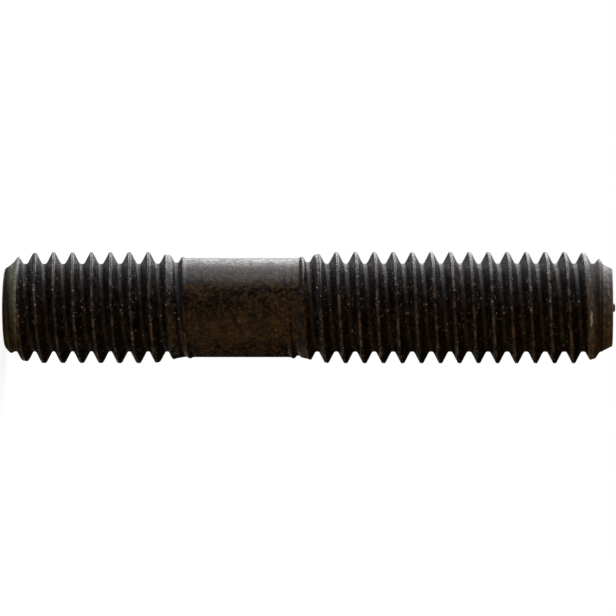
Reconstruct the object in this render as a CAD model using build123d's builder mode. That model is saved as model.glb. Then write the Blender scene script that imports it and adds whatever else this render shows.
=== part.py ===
from build123d import *
import os
from math import ceil, radians, tan

# Double-ended stud, 3/8-16 UNC by 2 in, one piece of steel: a short rolled thread, a plain shank
# and a long rolled thread. It stands on the face of its short thread. The origin is the centre
# of that face and +Z runs up the axis. Sizes are in millimetres and degrees.

# Lengths along the axis
overall_length = 50.8  # from one end face to the other
short_full_thread = 13.96  # groove at full depth, from its end face
long_full_thread = 25.11

# Thread form, the same on both ends
pitch = 25.4 / 16
major_diameter = 9.36
thread_angle = 60.0  # between the flanks of a groove
crest_flat = 0.18
root_flat = 0.26

# A turn of the groove is made of this many straight runs, with flat flanks and a flat root. The
# crests between them are round.
runs_per_turn = 24

# The thread is rolled on a blank a little under its mean diameter, and the shank is that blank
shank_undersize = 0.08

# Next to the shank the crests sink to it, from a part of a turn before the groove leaves full
# depth and climbs out of it. The angles are to the axis.
crest_run_out_turns = 0.75
crest_run_out_angle = 17.5
groove_run_out_angle = 22.0

# Where the grooves leave full depth, about the axis from +X. A whole number of runs lies between.
short_azimuth = 90.0
long_azimuth = 255.0

# Points: a chamfer at the end face, from inside the thread's root up to a drop below the crests,
# then a longer lead on which the first turns are not fully formed
short_face_inset = 0.36
short_chamfer_length = 0.8
short_chamfer_drop = 0.56
short_lead_length = 2.2
long_face_inset = 0.45
long_chamfer_length = 0.87
long_chamfer_drop = 0.68
long_lead_length = 2.6

# Nib that the cut-off tool left at the centre of the long thread's end face
nib_diameter = 0.75
nib_height = 0.24

# Worked out from the sizes above
flank_slope = tan(radians(thread_angle / 2))
thread_depth = (pitch - crest_flat - root_flat) / 2 / flank_slope
major_radius = major_diameter / 2
root_radius = major_radius - thread_depth
shank_radius = (major_diameter - thread_depth - shank_undersize) / 2
run_angle = 360 / runs_per_turn
run_rise = pitch / runs_per_turn
run_length = 2 * root_radius * tan(radians(run_angle / 2))

# The cutter of the groove reaches a little past the crests and the shank, so that it leaves the
# metal cleanly. Its mouth stays narrower than the pitch, so neighbouring turns never meet.
cut_reach = crest_flat / 2


def point_outline(face_inset, chamfer_length, chamfer_drop, lead_length):
    """Radii of a point and their distances from its end face: face edge, chamfer and lead."""
    return [
        (root_radius - face_inset, 0),
        (major_radius - chamfer_drop, chamfer_length),
        (major_radius, lead_length),
    ]


def crest_run_out(full_thread):
    """Where the crests leave full height and where they reach the shank."""
    start = full_thread - crest_run_out_turns * pitch
    end = start + (major_radius - shank_radius) / tan(radians(crest_run_out_angle))
    return [(major_radius, start), (shank_radius, end)]


def groove_cutter(runs, climb=0.0):
    """Solid of the groove between two crests, in straight runs that wind up from azimuth 0 at
    z = 0, each one further from the axis by climb. The roots of two runs meet at a corner. A run
    goes on past both of its corners by half its length, so that its flanks cross the next ones."""
    mouth_radius = major_radius + cut_reach
    half_root = root_flat / 2
    half_mouth = half_root + (mouth_radius - root_radius) * flank_slope
    along = Vector(climb, run_length, run_rise)
    with BuildPart() as run:
        with BuildSketch(Plane.XZ):
            with BuildLine():
                Polyline(
                    (root_radius, -half_root),
                    (mouth_radius, -half_mouth),
                    (mouth_radius, half_mouth),
                    (root_radius, half_root),
                    close=True,
                )
            make_face()
        extrude(amount=along.length, dir=along, both=True)
    places = [
        Location((0, 0, k * run_rise), (0, 0, k * run_angle)) * Location((k * climb, 0, 0))
        for k in range(runs)
    ]
    with BuildPart() as cutter:
        with Locations(*places):
            add(run.part)
    return cutter.part


full_turn = groove_cutter(runs_per_turn)
run_climb = run_rise * tan(radians(groove_run_out_angle))
run_out = groove_cutter(ceil((shank_radius + cut_reach - root_radius) / run_climb), run_climb)

# Each end is described from its own face inward
short_outline = [
    *point_outline(short_face_inset, short_chamfer_length, short_chamfer_drop, short_lead_length),
    *crest_run_out(short_full_thread),
]
long_outline = [
    *point_outline(long_face_inset, long_chamfer_length, long_chamfer_drop, long_lead_length),
    *crest_run_out(long_full_thread),
]
short_end = Plane.XY.rotated((0, 0, short_azimuth))
long_end = Plane(origin=(0, 0, overall_length), z_dir=(0, 0, -1), x_dir=(1, 0, 0)).rotated(
    (0, 0, long_azimuth)
)

# The round faces of the blank start and end at a corner of the grooves
blank_section = Plane.XZ.rotated((0, 0, short_azimuth + run_angle / 2))

with BuildPart() as stud:
    # Blank, with the crests standing proud of the shank
    with BuildSketch(blank_section):
        with BuildLine():
            Polyline(
                (0, 0),
                *short_outline,
                *[(radius, overall_length - depth) for radius, depth in reversed(long_outline)],
                (0, overall_length),
                close=True,
            )
        make_face()
    revolve(axis=Axis.Z)

    # Nib at the centre of the long thread's end face
    with BuildSketch(Plane.XY.offset(overall_length)):
        Circle(nib_diameter / 2)
    extrude(amount=nib_height)

    # Grooves: whole turns from outside the end face up to the end of full depth, then the run-out
    for end, full_thread in ((short_end, short_full_thread), (long_end, long_full_thread)):
        turns = ceil(full_thread / pitch + 0.5)
        for turn in range(1, turns + 1):
            with Locations(end.offset(full_thread - turn * pitch)):
                add(full_turn, mode=Mode.SUBTRACT)
        with Locations(end.offset(full_thread)):
            add(run_out, mode=Mode.SUBTRACT)

stud.part.label = "double_ended_stud"
os.makedirs("parts", exist_ok=True)
export_step(stud.part, "parts/double_ended_stud.step")
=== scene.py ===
from math import cos, pi, radians, sin, tan

import bpy
import numpy as np
from mathutils import Matrix, Vector


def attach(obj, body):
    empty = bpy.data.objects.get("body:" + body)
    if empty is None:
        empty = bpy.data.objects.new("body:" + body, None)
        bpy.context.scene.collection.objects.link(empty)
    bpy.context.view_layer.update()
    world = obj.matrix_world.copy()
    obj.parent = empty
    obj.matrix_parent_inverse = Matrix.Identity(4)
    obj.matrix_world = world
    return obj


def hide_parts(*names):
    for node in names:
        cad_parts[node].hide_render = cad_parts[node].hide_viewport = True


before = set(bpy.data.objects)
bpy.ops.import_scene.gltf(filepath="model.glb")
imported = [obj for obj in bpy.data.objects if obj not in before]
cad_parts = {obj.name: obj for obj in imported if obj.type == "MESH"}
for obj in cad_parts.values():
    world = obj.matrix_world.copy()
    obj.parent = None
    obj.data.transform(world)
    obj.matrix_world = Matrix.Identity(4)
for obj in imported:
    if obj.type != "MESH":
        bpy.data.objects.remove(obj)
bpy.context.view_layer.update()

# The stud stands on the end face of its short thread, and +Z runs up its axis. All sizes are in
# millimetres until a mesh is written, which is in metres.
MM = 0.001
LENGTH = 50.8  # end face to end face
PITCH = 25.4 / 16
SHANK_RADIUS = 4.146

# Thread section, before its crests and roots are rounded
CREST_RADIUS = 4.672
THREAD_DEPTH = 0.99
CREST_FLAT = 0.22
FLANK_ANGLE = 27.0  # one flank to a plane square to the axis
ROOT_RADIUS = CREST_RADIUS - THREAD_DEPTH
FLANK_RISE = 1 / tan(radians(FLANK_ANGLE))
ROOT_FLAT = PITCH - CREST_FLAT - 2 * THREAD_DEPTH / FLANK_RISE

# Sizes over which corners are rounded
CREST_ROUNDING = 0.035
ROOT_ROUNDING = 0.07
EDGE_ROUNDING = 0.02

# The fold that rolling leaves along the middle of a crest, and the lip that it pushes up on the
# shank along a groove's outer edge
FOLD_DEPTH = 0.03
FOLD_WIDTH = 0.035
LIP_WIDTH = 0.16

# Each thread. "crest" is the height of one of its crests at azimuth 0, and the others lie whole
# pitches away. All other places are distances from the thread's own end face: where the groove
# leaves full depth, where the crests start to sink, the radii of the point, and the heights of the
# lip beside a groove at that distance. The groove climbs out in "groove_turns", and the point is
# cut out of square by "askew".
SHORT_THREAD = {
    "crest": 0.075,
    "groove_end": 14.16,
    "groove_turns": 0.63,
    "sink": 12.46,
    "point": [(0.0, 3.28), (0.06, 3.38), (0.5, 3.76), (0.66, 3.9), (1.0, 4.36), (1.8, 4.48),
              (2.7, CREST_RADIUS)],
    "askew": 0.12,
    "lip": [(13.4, 0.0), (14.3, 0.09), (15.3, 0.12), (15.9, 0.0)],
}
LONG_THREAD = {
    "crest": -0.044,
    "groove_end": 24.97,
    "groove_turns": 1.085,
    "sink": 23.69,
    "point": [(0.0, 3.19), (0.06, 3.25), (0.80, 3.62), (1.12, 4.14), (1.72, 4.34), (2.44, 4.58),
              (3.3, CREST_RADIUS)],
    "askew": 0.0,
    "lip": [(24.2, 0.0), (25.4, 0.09), (26.4, 0.12), (26.9, 0.0)],
}
SINK_SLOPE = tan(radians(12.25))  # of the crests, to the axis
# The end face itself is square, and the cut is askew in full from this far
ASKEW_FROM = 0.3
# On a point the thread stands higher than the room that the point leaves it, by this share of its
# depth, so that the point trims its crests
POINT_FILL = 0.2

# End faces, as radii and heights above the face, from the rim to the axis. The long thread's has
# the nib that a cut-off tool left.
SHORT_RIM = SHORT_THREAD["point"][0][1]
LONG_RIM = LONG_THREAD["point"][0][1]
FACE_RADII = [2.8, 2.4, 2.0, 1.6, 1.2, 0.8]
SHORT_FACE = [(radius, 0.0) for radius in (SHORT_RIM, 3.22, 3.1, *FACE_RADII, 0.4, 0.12, 0.0)]
LONG_FACE = [(radius, 0.0) for radius in (LONG_RIM, 3.13, *FACE_RADII, 0.55, 0.42)]
NIB = [(0.375, 0.02), (0.345, 0.16), (0.31, 0.22), (0.24, 0.24), (0.1, 0.24), (0.0, 0.24)]

# Heights that the rows of each thread cover, with plain rings on the shank between them
SHORT_SECTION = (0.0, 15.9)
LONG_SECTION = (23.4, LENGTH)
SHANK_RINGS = 60
COLUMNS = 96
# Rows across one pitch, as distances from the middle of a crest
HALF_ROWS = [0.025, 0.05, 0.08, 0.11, 0.15, 0.25, 0.36, 0.47, 0.555, 0.605, 0.65, 0.71]
ROWS = np.array([-d for d in reversed(HALF_ROWS)] + [0.0] + HALF_ROWS + [PITCH / 2])

# How far from the middle of a crest or a root its mark fades, and the groove depth below which the
# mark of a root fades as well
CREST_MARK = 0.1
ROOT_MARK = 0.3
SHALLOW = 0.3

# Where each finish lies: the points by distance from the end faces, and the shank by height and by
# how far its radius may stray, which leaves out the last of the grooves and crests
SHORT_POINT = 1.25
LONG_POINT = 2.05
SHANK_HEIGHTS = (15.1, 25.5)
SHANK_STRAY = (-0.1, 0.2)


def link(name, data):
    """A new object of the scene with a mesh, a lamp or a camera."""
    item = bpy.data.objects.new(name, data)
    bpy.context.scene.collection.objects.link(item)
    return item


# ---------------------------------------------------------------- form of the stud


def soft_min(a, b, size):
    """The smaller of two values, with the corner between them rounded over size."""
    low = np.minimum(a, b)
    return low - size * np.log(np.exp((low - a) / size) + np.exp((low - b) / size))


def soft_max(a, b, size):
    """The larger of two values, with the corner between them rounded over size."""
    return -soft_min(-a, -b, size)


def bell(distance, width):
    """A bell curve: 1 in the middle, and about a third at a width from it."""
    return np.exp(-((distance / width) ** 2))


def threaded_radius(z, turn, depth, thread, away):
    """Radius at height z and azimuth turn (in turns) of a threaded end, and how near it is to the
    middle of a crest and of a root. depth is the distance from the end face, and away is +1 where
    z grows with it.

    The section is the lower of the crests and of a V with a rounded floor, whose middle follows a
    helix. Past its full length the V's floor climbs out, while the crests sink to the shank. The
    fold, a narrow bell, is taken from the middle of a crest, and the lip, a wider one, is added
    beside the V. On the point the whole section is lower, with the room that the point leaves over
    the roots, and the point's own radii, taken a little askew, trim it."""
    askew = thread["askew"] * np.cos(2 * pi * turn) * np.clip(depth / ASKEW_FROM, 0.0, 1.0)
    point = np.interp(depth + askew, *zip(*thread["point"]))
    sunk = CREST_RADIUS - SINK_SLOPE * (depth - thread["sink"])
    crests = soft_min(np.full_like(depth, CREST_RADIUS), sunk, EDGE_ROUNDING)
    crests = soft_max(crests, SHANK_RADIUS, EDGE_ROUNDING)

    start = thread["crest"] + PITCH / 2
    middle = start + PITCH * (turn + np.round((z - start) / PITCH - turn))
    middle_depth = middle if away > 0 else LENGTH - middle
    climb = (SHANK_RADIUS - ROOT_RADIUS) / (thread["groove_turns"] * PITCH)
    floor = ROOT_RADIUS + climb * np.maximum(0.0, middle_depth - thread["groove_end"])
    from_root = np.abs(z - middle)
    from_crest = PITCH / 2 - from_root
    across = from_root - ROOT_FLAT / 2
    flank = floor + FLANK_RISE * soft_max(across, 0.0 * across, ROOT_ROUNDING / FLANK_RISE)
    section = soft_min(crests, flank, CREST_ROUNDING)

    fullness = np.clip((point - ROOT_RADIUS) / THREAD_DEPTH + POINT_FILL, 0.0, 1.0)
    lowered = ROOT_RADIUS + (section - ROOT_RADIUS) * fullness
    proud = np.clip((crests - SHANK_RADIUS) / (CREST_RADIUS - SHANK_RADIUS), 0.0, 1.0) * fullness
    fold = FOLD_DEPTH * proud * bell(from_crest, FOLD_WIDTH)
    open_depth = SHANK_RADIUS - floor
    outer_edge = ROOT_FLAT / 2 + np.maximum(0.0, open_depth) / FLANK_RISE + LIP_WIDTH
    from_lip = (z - middle) * away - outer_edge
    lip = np.interp(middle_depth, *zip(*thread["lip"])) * bell(from_lip, LIP_WIDTH)

    crest = bell(from_crest, CREST_MARK) * np.minimum(1.0, 2 * proud)
    root = bell(from_root, ROOT_MARK) * np.clip(open_depth / SHALLOW, 0.0, 1.0)
    return soft_min(point, lowered - fold + lip, EDGE_ROUNDING), crest, root


def surface_radius(z, turn):
    """Radius of the stud at height z and azimuth turn, with how near it is to the middle of a crest
    and of a root: those of its short thread below, and of its long thread above."""
    short = threaded_radius(z, turn, z, SHORT_THREAD, 1)
    long = threaded_radius(z, turn, LENGTH - z, LONG_THREAD, -1)
    lower = z < (SHORT_SECTION[1] + LONG_SECTION[0]) / 2
    radius, crest, root = (np.where(lower, a, b) for a, b in zip(short, long))
    return np.minimum(radius, CREST_RADIUS), crest, root


def thread_grid(section, crest):
    """Heights and vertex numbers of a threaded section. Each column keeps the same rows across a
    crest, moved up by a pitch in one turn, so the rows run along the helix. Rows outside the
    section are held at its ends, and a column shares one vertex for all of them."""
    first, last = section
    turns = np.arange(np.floor((first - crest) / PITCH) - 2, np.ceil((last - crest) / PITCH) + 2)
    line = (crest + turns[:, None] * PITCH + ROWS[None, :]).ravel()
    column = np.arange(COLUMNS + 1)
    heights = line[:, None] + PITCH * column[None, :] / COLUMNS
    low = np.sum(heights <= first, axis=0) - 1
    high = len(line) - np.sum(heights >= last, axis=0)
    row = np.arange(len(line))
    number = np.clip(row[:, None], low[None, :], high[None, :]) * COLUMNS + column[None, :]
    # After a whole turn, a row meets the one a pitch further on
    number[:, COLUMNS] = np.clip(row + len(ROWS), low[0], high[0]) * COLUMNS
    return np.clip(heights[:, :-1], first, last), number


def ring_grid(rings):
    """Vertex numbers of closed rings, one row each."""
    number = np.arange(rings)[:, None] * COLUMNS + np.arange(COLUMNS)[None, :]
    return np.concatenate([number, number[:, :1]], 1)


def quads_to_triangles(number):
    """Triangles between neighbouring rows and columns of vertex numbers."""
    a, b = number[:-1, :-1].ravel(), number[:-1, 1:].ravel()
    c, d = number[1:, 1:].ravel(), number[1:, :-1].ravel()
    return np.concatenate([np.stack([a, b, c], 1), np.stack([a, c, d], 1)])


def place(radius, turn, z):
    """Points at a radius, an azimuth in turns and a height."""
    angle = 2 * pi * turn
    flat = [radius * np.cos(angle), radius * np.sin(angle)]
    return np.stack([*flat, z + 0 * radius], -1).reshape(-1, 3)


def side_surface(heights, number):
    """Points, triangles and marks (crest and root nearness) of a part of the stud's side: the
    stud's radius as a function of height and azimuth."""
    turn = np.broadcast_to(np.arange(COLUMNS) / COLUMNS, heights.shape)
    radius, crest, root = surface_radius(heights, turn)
    marks = np.stack([crest.ravel(), root.ravel()], 1)
    return place(radius, turn, heights), quads_to_triangles(number), marks


def face_surface(profile, base, up):
    """Points, triangles and marks of an end face at the height base: a profile of radii and
    heights that closes on the axis, turned about it. No part of it is near a crest or a root."""
    radius, height = (np.array(side)[:, None] + np.zeros(COLUMNS) for side in zip(*profile))
    turn = np.broadcast_to(np.arange(COLUMNS) / COLUMNS, radius.shape)
    faces = quads_to_triangles(ring_grid(len(profile)))
    marks = np.zeros((radius.size, 2))
    return place(radius, turn, base + height), faces if up else faces[:, ::-1], marks


def welded(points, faces, marks):
    """The surface with points that coincide made one, without the triangles that lose a side."""
    keys = np.round(points * 1e4).astype(np.int64)
    _, first, number = np.unique(keys, axis=0, return_index=True, return_inverse=True)
    faces = number.ravel()[faces]
    a, b, c = faces.T
    faces = faces[(a != b) & (b != c) & (a != c)]
    used, faces = np.unique(faces, return_inverse=True)
    return points[first][used], faces.reshape(-1, 3), marks[first][used]


def stud_surface():
    """Points, triangles and marks of the whole stud: the shank, two threads, a plain end face and
    one with a nib."""
    shank = np.linspace(SHORT_SECTION[1], LONG_SECTION[0], SHANK_RINGS)[:, None]
    pieces = [
        side_surface(shank + np.zeros(COLUMNS), ring_grid(SHANK_RINGS)),
        side_surface(*thread_grid(SHORT_SECTION, SHORT_THREAD["crest"])),
        side_surface(*thread_grid(LONG_SECTION, LONG_THREAD["crest"])),
        face_surface(SHORT_FACE, 0.0, up=False),
        face_surface(LONG_FACE + NIB, LENGTH, up=True),
    ]
    starts = np.cumsum([0] + [len(points) for points, _, _ in pieces[:-1]])
    return welded(
        np.concatenate([points for points, _, _ in pieces]),
        np.concatenate([faces + start for (_, faces, _), start in zip(pieces, starts)]),
        np.concatenate([marks for _, _, marks in pieces]),
    )


def finish_numbers(middle):
    """The material of each triangle by its middle: 0 on the threads, 1 on the shank, and 2 on the
    points and end faces."""
    stray = np.hypot(middle[:, 0], middle[:, 1]) - SHANK_RADIUS
    height = middle[:, 2]
    shank = (height > SHANK_HEIGHTS[0]) & (height < SHANK_HEIGHTS[1])
    shank = shank & (stray > SHANK_STRAY[0]) & (stray < SHANK_STRAY[1])
    point = (height < SHORT_POINT) | (height > LENGTH - LONG_POINT)
    return np.where(point, 2, np.where(shank, 1, 0))


def build_stud(materials):
    """The stud, with its marks as attributes. The materials are those of the threads, of the
    shank, and of the points and end faces."""
    points, faces, marks = stud_surface()
    mesh = bpy.data.meshes.new("stud")
    mesh.from_pydata((points * MM).tolist(), [], faces.tolist())
    for name, value in zip(("crest", "root"), marks.T.astype(np.float32)):
        mesh.attributes.new(name, "FLOAT", "POINT").data.foreach_set("value", value.copy())
    for material in materials:
        mesh.materials.append(material)
    numbers = finish_numbers(points[faces].mean(axis=1)).astype(np.int32)
    mesh.polygons.foreach_set("material_index", numbers)
    mesh.polygons.foreach_set("use_smooth", np.ones(len(faces), bool))
    return link("stud", mesh)


# ---------------------------------------------------------------- shader helpers


def add(tree, kind, sockets=None, **settings):
    """A node with its settings, and its sockets set to values or linked to outputs."""
    node = tree.nodes.new("ShaderNode" + kind)
    for key, value in settings.items():
        setattr(node, key, value)
    for socket, value in (sockets or {}).items():
        if isinstance(value, bpy.types.NodeSocket):
            tree.links.new(value, node.inputs[socket])
        else:
            node.inputs[socket].default_value = value
    return node


def calc(tree, operation, a, b=0.0, clamp=False):
    """The output of a maths node."""
    return add(tree, "Math", {0: a, 1: b}, operation=operation, use_clamp=clamp).outputs[0]


def calc_vector(tree, operation, a, b):
    """The vector of a vector maths node, with a number as b where the operation is SCALE."""
    sockets = {0: a, "Scale" if operation == "SCALE" else 1: b}
    return add(tree, "VectorMath", sockets, operation=operation).outputs[0]


def length_of(tree, vector):
    """How long a vector is."""
    return add(tree, "VectorMath", {0: vector}, operation="LENGTH").outputs["Value"]


def ramp(tree, value, low, high, start=0.0, end=1.0):
    """A smooth step from start to end, as value goes from low to high."""
    sockets = {"Value": value, "From Min": low, "From Max": high, "To Min": start, "To Max": end}
    return add(tree, "MapRange", sockets, interpolation_type="SMOOTHSTEP").outputs["Result"]


def blend(tree, factor, a, b):
    """The colour a, or b where factor is 1."""
    return add(tree, "Mix", {0: factor, 6: a, 7: b}, data_type="RGBA").outputs[2]


def noise(tree, vector, scale, detail=2.0):
    """Noise with its middle at 0.5."""
    sockets = {"Vector": vector, "Scale": scale, "Detail": detail}
    return add(tree, "TexNoise", sockets).outputs["Fac"]


def noise_vector(tree, vector, scale):
    """Noise as a vector, with its middle at 0.5 on each axis."""
    return add(tree, "TexNoise", {"Vector": vector, "Scale": scale}).outputs["Color"]


def millimetres(tree):
    """The place on the stud in its own millimetres: the vector, the radius and the height."""
    vector = calc_vector(tree, "SCALE", add(tree, "TexCoord").outputs["Object"], 1 / MM)
    parts = add(tree, "SeparateXYZ", {0: vector}).outputs
    flat = add(tree, "CombineXYZ", {"X": parts["X"], "Y": parts["Y"]}).outputs[0]
    return vector, length_of(tree, flat), parts["Z"]


def new_group(name, inputs, outputs):
    """A node group with named inputs (kind and start value) and outputs (kind), and its in and out
    nodes."""
    tree = bpy.data.node_groups.new(name, "ShaderNodeTree")
    for label, (kind, value) in inputs.items():
        socket = tree.interface.new_socket(label, in_out="INPUT", socket_type="NodeSocket" + kind)
        socket.default_value = value
    for label, kind in outputs.items():
        tree.interface.new_socket(label, in_out="OUTPUT", socket_type="NodeSocket" + kind)
    return tree, tree.nodes.new("NodeGroupInput").outputs, tree.nodes.new("NodeGroupOutput").inputs


def use_group(tree, group, sockets):
    """The outputs of a group node."""
    return add(tree, "Group", sockets, node_tree=group).outputs


# ---------------------------------------------------------------- shared effects


def oxide_group():
    """Mottled oxide: a base colour that turns towards a patch colour in clouds and fine grain, and
    the roughness of an uneven film of oil."""
    inputs = {
        "Base": ("Color", (0.02, 0.01, 0.005, 1)),
        "Patch": ("Color", (0.04, 0.03, 0.02, 1)),
        "Smooth": ("Float", 0.3),
        "Rough": ("Float", 0.5),
    }
    tree, ins, outs = new_group("oxide", inputs, {"Color": "Color", "Roughness": "Float"})
    vector, _, _ = millimetres(tree)
    clouds = ramp(tree, noise(tree, vector, scale=1.1, detail=4.0), 0.42, 0.66)
    grain = ramp(tree, noise(tree, vector, scale=3.6, detail=4.0), 0.46, 0.66)
    film = ramp(tree, noise(tree, vector, scale=2.4, detail=5.0), 0.38, 0.64)
    clouds = calc(tree, "MULTIPLY", clouds, 0.35)
    grain = calc(tree, "MULTIPLY", grain, 0.65)
    mottled = blend(tree, calc(tree, "ADD", clouds, grain), ins["Base"], ins["Patch"])
    tree.links.new(mottled, outs["Color"])
    sockets = {"Value": film, "To Min": ins["Smooth"], "To Max": ins["Rough"]}
    tree.links.new(add(tree, "MapRange", sockets).outputs["Result"], outs["Roughness"])
    return tree


def grain_group():
    """Height of the steel's fine grain, in metres: shallow waves, grit and drawn lines along the
    axis, each by its depth in millimetres."""
    inputs = {"Waves": ("Float", 0.004), "Grit": ("Float", 0.002), "Lines": ("Float", 0.0)}
    tree, ins, outs = new_group("grain", inputs, {"Height": "Float"})
    vector, _, _ = millimetres(tree)
    drawn = calc_vector(tree, "MULTIPLY", vector, (1, 1, 0.05))
    waves = calc(tree, "MULTIPLY", noise(tree, vector, scale=2.2, detail=3.0), ins["Waves"])
    grit = calc(tree, "MULTIPLY", noise(tree, vector, scale=7.5, detail=4.0), ins["Grit"])
    lines = calc(tree, "MULTIPLY", noise(tree, drawn, scale=9.0, detail=2.0), ins["Lines"])
    total = calc(tree, "ADD", calc(tree, "ADD", waves, grit), lines)
    tree.links.new(calc(tree, "MULTIPLY", total, MM), outs["Height"])
    return tree


def specks_group():
    """Mask of small specks of dust and bare metal, one to a cell, of which a share is shown. On the
    threads they are painted light, as glints.
    """
    inputs = {"Cells": ("Float", 2.2), "Size": ("Float", 0.16), "Share": ("Float", 0.4)}
    tree, ins, outs = new_group("specks", inputs, {"Mask": "Float"})
    vector, _, _ = millimetres(tree)
    wobble = calc_vector(tree, "SCALE", noise_vector(tree, vector, 9.0), 0.12)
    bent = calc_vector(tree, "ADD", vector, wobble)
    cells = add(tree, "TexVoronoi", {"Vector": bent, "Scale": ins["Cells"]}).outputs
    chance = add(tree, "SeparateColor", {0: cells["Color"]}).outputs
    shown = calc(tree, "LESS_THAN", chance[0], ins["Share"])
    size = calc(tree, "MULTIPLY", ins["Size"], calc(tree, "ADD", chance[1], 0.3))
    from_middle = calc(tree, "DIVIDE", cells["Distance"], size)
    inside = calc(tree, "SUBTRACT", 1.0, from_middle, clamp=True)
    tree.links.new(calc(tree, "MULTIPLY", inside, shown), outs["Mask"])
    return tree


def backdrop_group():
    """Mask of the white backdrop behind the stud, for a direction or a place on the floor: none
    from 7 degrees off +Y, and full within 3."""
    tree, ins, outs = new_group("backdrop", {"Vector": ("Vector", (0, 0, 0))}, {"Mask": "Float"})
    unit = add(tree, "VectorMath", {0: ins["Vector"]}, operation="NORMALIZE").outputs[0]
    behind = add(tree, "SeparateXYZ", {0: unit}).outputs["Y"]
    tree.links.new(ramp(tree, behind, cos(radians(7)), cos(radians(3))), outs["Mask"])
    return tree


OXIDE = oxide_group()
GRAIN = grain_group()
SPECKS = specks_group()
BACKDROP = backdrop_group()

# ---------------------------------------------------------------- materials of the stud

# Colours under the oxide or on it, and the colours of painted highlights, glints and shade
RUBBED_GREY = (0.17, 0.16, 0.145, 1)
RUBBED_BROWN = (0.19, 0.115, 0.06, 1)
# Near white: a painted highlight on a flattened spot of a crest
BARE_STEEL_HIGHLIGHT = (0.95, 0.93, 0.88, 1)
# Painted highlight on the edges of the end faces, where their bevel would catch light
EDGE_HIGHLIGHT = (0.6, 0.57, 0.46, 1)
TOOL_MARK = (0.05, 0.045, 0.03, 1)
# Black of the roots on the points, and of the painted shade rings
ROOT_AND_SHADE_RING_BLACK = (0.012, 0.008, 0.005, 1)
# Light specks of dust, painted near white as glints
DUST_AND_GLINT_SPECK = (0.85, 0.83, 0.8, 1)
DULL_SPECK = (0.5, 0.46, 0.4, 1)

# Painted shade: dark rings on the points, beside the short thread's face and where the long one's
# cone steepens
SHADE_RINGS = (0.17, 49.88)
# The painted highlight on the edge of an end face grows in over these distances from the stud's
# middle and radii
EDGE_DISTANCES = (25.28, 25.36)
EDGE_RADII = (3.05, 3.15)
# Painted highlight, near white, on a flattened spot of the first crest of the long thread, in the
# stud's millimetres
HIGHLIGHT_MIDDLE = (1.0, -4.2, 48.98)
HIGHLIGHT_SCALE = (1.6, 0.8, 12.0)  # one over its half width on each axis


def new_material(name, ior=1.5):
    """A material, its node tree and its shader's sockets."""
    material = bpy.data.materials.new(name)
    material.use_nodes = True
    tree = material.node_tree
    shader = tree.nodes["Principled BSDF"].inputs
    shader["IOR"].default_value = ior
    return material, tree, shader


def mark(tree, name):
    """How near a place is to the middle of a crest or of a root."""
    return add(tree, "Attribute", attribute_name=name).outputs["Fac"]


def bump(tree, height, shader):
    """Feed a height in metres to the shader's normal."""
    node = add(tree, "Bump", {"Height": height, "Strength": 1.0, "Distance": 1.0})
    tree.links.new(node.outputs["Normal"], shader["Normal"])


def turning_marks(tree, radius, height, spacing, depth):
    """Height in metres and mask of fine rings about the axis that a lathe tool leaves on a cone or
    a flat face."""
    along = calc(tree, "DIVIDE", calc(tree, "ADD", radius, height), spacing)
    sockets = {"W": along, "Scale": 1.0, "Detail": 2.0}
    rings = add(tree, "TexNoise", sockets, noise_dimensions="1D").outputs["Fac"]
    return calc(tree, "MULTIPLY", rings, depth * MM), ramp(tree, rings, 0.4, 0.65)


def ring(tree, height, at):
    """Mask of a narrow ring round the axis at a height."""
    away = calc(tree, "ABSOLUTE", calc(tree, "SUBTRACT", height, at))
    return ramp(tree, away, 0.05, 0.1, 1.0, 0.0)


def face_edge_highlight(tree, radius, height):
    """Mask of the edges of both end faces, where a highlight is painted."""
    from_middle = calc(tree, "ABSOLUTE", calc(tree, "SUBTRACT", height, LENGTH / 2))
    end = ramp(tree, from_middle, *EDGE_DISTANCES)
    return calc(tree, "MULTIPLY", end, ramp(tree, radius, *EDGE_RADII))


def highlight_patch(tree, vector):
    """Mask of the painted highlight on a flattened spot of a crest: a ball in a stretched and
    ragged space.
    """
    ragged = calc_vector(tree, "SUBTRACT", noise_vector(tree, vector, 4.0), (0.5, 0.5, 0.5))
    shift = calc_vector(tree, "SUBTRACT", vector, HIGHLIGHT_MIDDLE)
    shift = calc_vector(tree, "ADD", shift, calc_vector(tree, "SCALE", ragged, 0.3))
    size = length_of(tree, calc_vector(tree, "MULTIPLY", shift, HIGHLIGHT_SCALE))
    return ramp(tree, size, 0.8, 1.2, 1.0, 0.0)


def thread_material():
    """Rolled thread: dark in the grooves, rubbed brown along the crests, with light specks of dust
    that are painted near white as glints.
    """
    material, tree, shader = new_material("oxide_thread", 1.43)
    vector, _, _ = millimetres(tree)
    oxide = use_group(tree, OXIDE, {
        "Base": (0.002, 0.0015, 0.001, 1),
        "Patch": (0.052, 0.043, 0.038, 1),
        "Smooth": 0.20,
        "Rough": 0.36,
    })
    worn = ramp(tree, noise(tree, vector, scale=1.3, detail=5.0), 0.46, 0.62)
    warm = ramp(tree, noise(tree, vector, scale=0.45), 0.42, 0.58)
    rubbed = blend(tree, warm, RUBBED_GREY, RUBBED_BROWN)
    amount = calc(tree, "MULTIPLY", mark(tree, "crest"), worn)
    colour = blend(tree, amount, oxide["Color"], rubbed)
    specks = use_group(tree, SPECKS, {"Cells": 4.2, "Size": 0.34, "Share": 0.28})["Mask"]
    # Light specks, painted near white as glints
    tree.links.new(blend(tree, specks, colour, DUST_AND_GLINT_SPECK), shader["Base Color"])
    dull = calc(tree, "MULTIPLY", mark(tree, "root"), 0.3)
    roughness = calc(tree, "ADD", oxide["Roughness"], dull, clamp=True)
    tree.links.new(roughness, shader["Roughness"])
    bump(tree, use_group(tree, GRAIN, {"Waves": 0.03, "Grit": 0.06})["Height"], shader)
    return material


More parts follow.
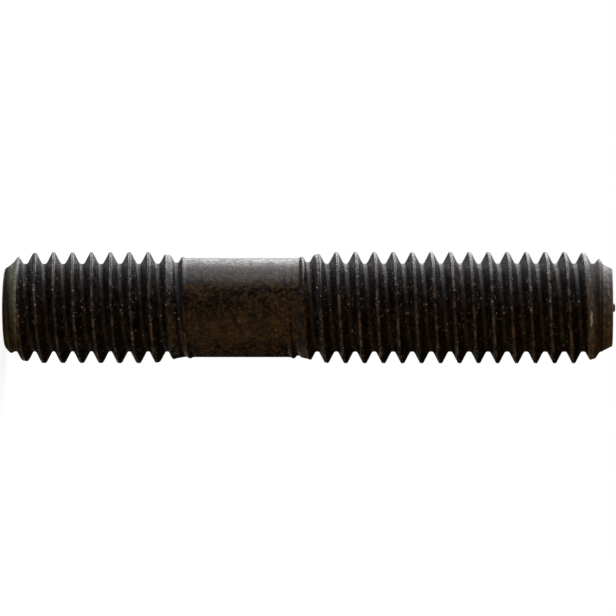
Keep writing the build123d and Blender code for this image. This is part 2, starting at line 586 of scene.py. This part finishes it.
def shank_material():
    """Drawn shank: warm brown-black, satin, with faint drawn lines and a few specks."""
    material, tree, shader = new_material("oxide_shank", 1.39)
    oxide = use_group(tree, OXIDE, {
        "Base": (0.003, 0.0012, 0.0005, 1),
        "Patch": (0.115, 0.070, 0.026, 1),
        "Smooth": 0.19,
        "Rough": 0.40,
    })
    specks = use_group(tree, SPECKS, {"Cells": 2.6, "Size": 0.26, "Share": 0.12})["Mask"]
    tree.links.new(blend(tree, specks, oxide["Color"], DULL_SPECK), shader["Base Color"])
    tree.links.new(oxide["Roughness"], shader["Roughness"])
    grain = use_group(tree, GRAIN, {"Waves": 0.015, "Grit": 0.022, "Lines": 0.01})
    bump(tree, grain["Height"], shader)
    return material


def point_material():
    """Turned points and end faces: a thin oxide, olive-grey on the short thread and browner on the
    long one, and on the short one painted lighter for the light that its downward-facing cone
    misses. With rings from the tool, painted shade rings, painted highlights on the edges of the
    end faces, and a painted highlight on one flattened spot of a crest."""
    material, tree, shader = new_material("oxide_point", 1.36)
    vector, radius, height = millimetres(tree)
    long_end = ramp(tree, height, 20, 30)
    oxide = use_group(tree, OXIDE, {
        # Olive-grey at the short thread and browner at the long one; the short one's colours are
        # also painted lighter, for the light that its downward-facing cone misses
        "Base": blend(tree, long_end, (0.24, 0.25, 0.18, 1), (0.085, 0.08, 0.072, 1)),
        "Patch": blend(tree, long_end, (0.62, 0.65, 0.48, 1), (0.32, 0.29, 0.26, 1)),
        "Smooth": 0.42,
        "Rough": 0.6,
    })
    turned, tool_marks = turning_marks(tree, radius, height, spacing=0.11, depth=0.03)
    root = mark(tree, "root")
    # Painted shade: dark rings beside the short thread's face and at the crease of the long cone
    rings = calc(tree, "MAXIMUM", *(ring(tree, height, at) for at in SHADE_RINGS))
    dark = calc(tree, "MAXIMUM", root, rings)
    # Painted highlight on the edges of the end faces
    edge = face_edge_highlight(tree, radius, height)
    colour = oxide["Color"]
    for mask, strength, over in (
        (tool_marks, 0.6, TOOL_MARK),
        (dark, 0.9, ROOT_AND_SHADE_RING_BLACK),
        (edge, 0.8, EDGE_HIGHLIGHT),
        # painted highlight on a flattened spot of the long thread's first crest
        (highlight_patch(tree, vector), 1.0, BARE_STEEL_HIGHLIGHT),
    ):
        colour = blend(tree, calc(tree, "MULTIPLY", mask, strength), colour, over)
    tree.links.new(colour, shader["Base Color"])
    dull = calc(tree, "MULTIPLY", root, 0.3)
    roughness = calc(tree, "ADD", oxide["Roughness"], dull, clamp=True)
    tree.links.new(roughness, shader["Roughness"])
    grain = use_group(tree, GRAIN, {"Waves": 0.01, "Grit": 0.03})["Height"]
    bump(tree, calc(tree, "ADD", grain, turned), shader)
    return material


stud = build_stud([thread_material(), shank_material(), point_material()])
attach(stud, "root")
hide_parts("double_ended_stud")

# ---------------------------------------------------------------- stage, in metres

CENTRE = Vector((0, 0, LENGTH / 2 * MM))
FLOOR_HALF_WIDTH = 0.13
# How white the floor looks to the camera at the stud's foot, and the distances from there over
# which it turns fully white to the camera, and in the stud's reflections
FLOOR_WHITE = 0.88
FLOOR_FADE = (0.02, 0.12)
MIRRORED_FADE = (0.05, 0.12)
STUDIO_GLOW = 0.004  # of the room, where there is no backdrop

# Soft boxes round the axis of the stud: angle from the front towards the left side and width, both
# in degrees, height, radiance and colour
SOFT_BOXES = {
    "key": (106, 82, 0.9, 2.8, (0.97, 0.97, 1.04)),
    "rim": (142, 46, 0.9, 2.4, (1.0, 1.0, 1.0)),
    "fill": (-51, 75, 0.7, 0.50, (1.0, 0.58, 0.19)),
    "front": (26, 84, 0.7, 0.12, (1.0, 0.48, 0.26)),
}
REACH = 0.5  # from the axis to each soft box

# The camera looks from -Y, a little from above, and lies on its side, so that the stud lies across
# the view with its long thread on the right. The sensor and the lens are in millimetres.
VIEW_TILT = radians(1.88)
VIEW_DISTANCE = 0.4256
VIEW_AIM = CENTRE + Vector((0.00003, 0, -0.00003))
SENSOR_WIDTH = 36
LENS = 297.2


def other_rays(tree, path):
    """1 for glossy and transmission rays, which leave the stud."""
    return calc(tree, "MAXIMUM", path["Is Glossy Ray"], path["Is Transmission Ray"])


def floor_material():
    """Pale floor. To the camera it is lit up to white, fully so at its edges, where it meets the
    backdrop. Rays that leave the stud towards the backdrop see it white there too."""
    material, tree, shader = new_material("floor_white")
    shader["Base Color"].default_value = (0.5, 0.5, 0.5, 1)
    shader["Roughness"].default_value = 0.9
    shader["Emission Color"].default_value = (1, 1, 1, 1)
    path = add(tree, "LightPath").outputs
    spot = add(tree, "TexCoord").outputs["Object"]
    distance = length_of(tree, spot)
    lit = ramp(tree, distance, *FLOOR_FADE, FLOOR_WHITE, 1.0)
    seen = calc(tree, "MULTIPLY", path["Is Camera Ray"], lit)
    behind = use_group(tree, BACKDROP, {"Vector": spot})["Mask"]
    far = calc(tree, "MULTIPLY", behind, ramp(tree, distance, *MIRRORED_FADE))
    mirrored = calc(tree, "MULTIPLY", other_rays(tree, path), far)
    tree.links.new(calc(tree, "ADD", seen, mirrored), shader["Emission Strength"])
    return material


def build_floor():
    """Square floor under the stud."""
    side = FLOOR_HALF_WIDTH
    corners = [(-side, -side, 0), (side, -side, 0), (side, side, 0), (-side, side, 0)]
    mesh = bpy.data.meshes.new("floor")
    mesh.from_pydata(corners, [], [(0, 1, 2, 3)])
    mesh.materials.append(floor_material())
    return link("floor", mesh)


def build_world():
    """The room: white to the camera, and in the stud's reflections white where the backdrop is and
    almost dark elsewhere."""
    world = bpy.data.worlds.new("studio")
    bpy.context.scene.world = world
    world.use_nodes = True
    tree = world.node_tree
    path = add(tree, "LightPath").outputs
    direction = add(tree, "TexCoord").outputs["Generated"]
    behind = use_group(tree, BACKDROP, {"Vector": direction})["Mask"]
    mirrored = calc(tree, "MULTIPLY", other_rays(tree, path), behind)
    white = calc(tree, "MAXIMUM", path["Is Camera Ray"], mirrored)
    background = tree.nodes["Background"].inputs
    background["Color"].default_value = (1, 1, 1, 1)
    tree.links.new(ramp(tree, white, 0.0, 1.0, STUDIO_GLOW, 1.0), background["Strength"])


def build_soft_box(name, angle, spread, height, radiance, colour):
    """A soft box that faces the stud, with the power that gives its surface that radiance."""
    lamp = bpy.data.lights.new(name, "AREA")
    lamp.shape = "RECTANGLE"
    lamp.size = 2 * REACH * tan(radians(spread / 2))
    lamp.size_y = height
    lamp.energy = radiance * pi * lamp.size * lamp.size_y
    lamp.color = colour
    towards = Vector((-sin(radians(angle)), -cos(radians(angle)), 0))
    holder = link(name, lamp)
    holder.location = CENTRE + towards * REACH
    holder.rotation_euler = towards.to_track_quat("Z", "Y").to_euler()
    holder.visible_camera = False


def build_camera():
    """The scene's camera."""
    camera = bpy.data.cameras.new("camera")
    camera.sensor_width = SENSOR_WIDTH
    camera.lens = LENS
    camera.clip_start = 0.01
    camera.clip_end = 20
    back = Vector((0, -cos(VIEW_TILT), sin(VIEW_TILT)))
    up = Vector((-1, 0, 0))
    turned = Matrix((up.cross(back), up, back)).transposed()
    view = link("camera", camera)
    view.matrix_world = Matrix.Translation(VIEW_AIM + back * VIEW_DISTANCE) @ turned.to_4x4()
    bpy.context.scene.camera = view


build_floor()
build_world()
for name, values in SOFT_BOXES.items():
    build_soft_box(name, *values)
build_camera()
bpy.context.scene.view_settings.view_transform = "Standard"
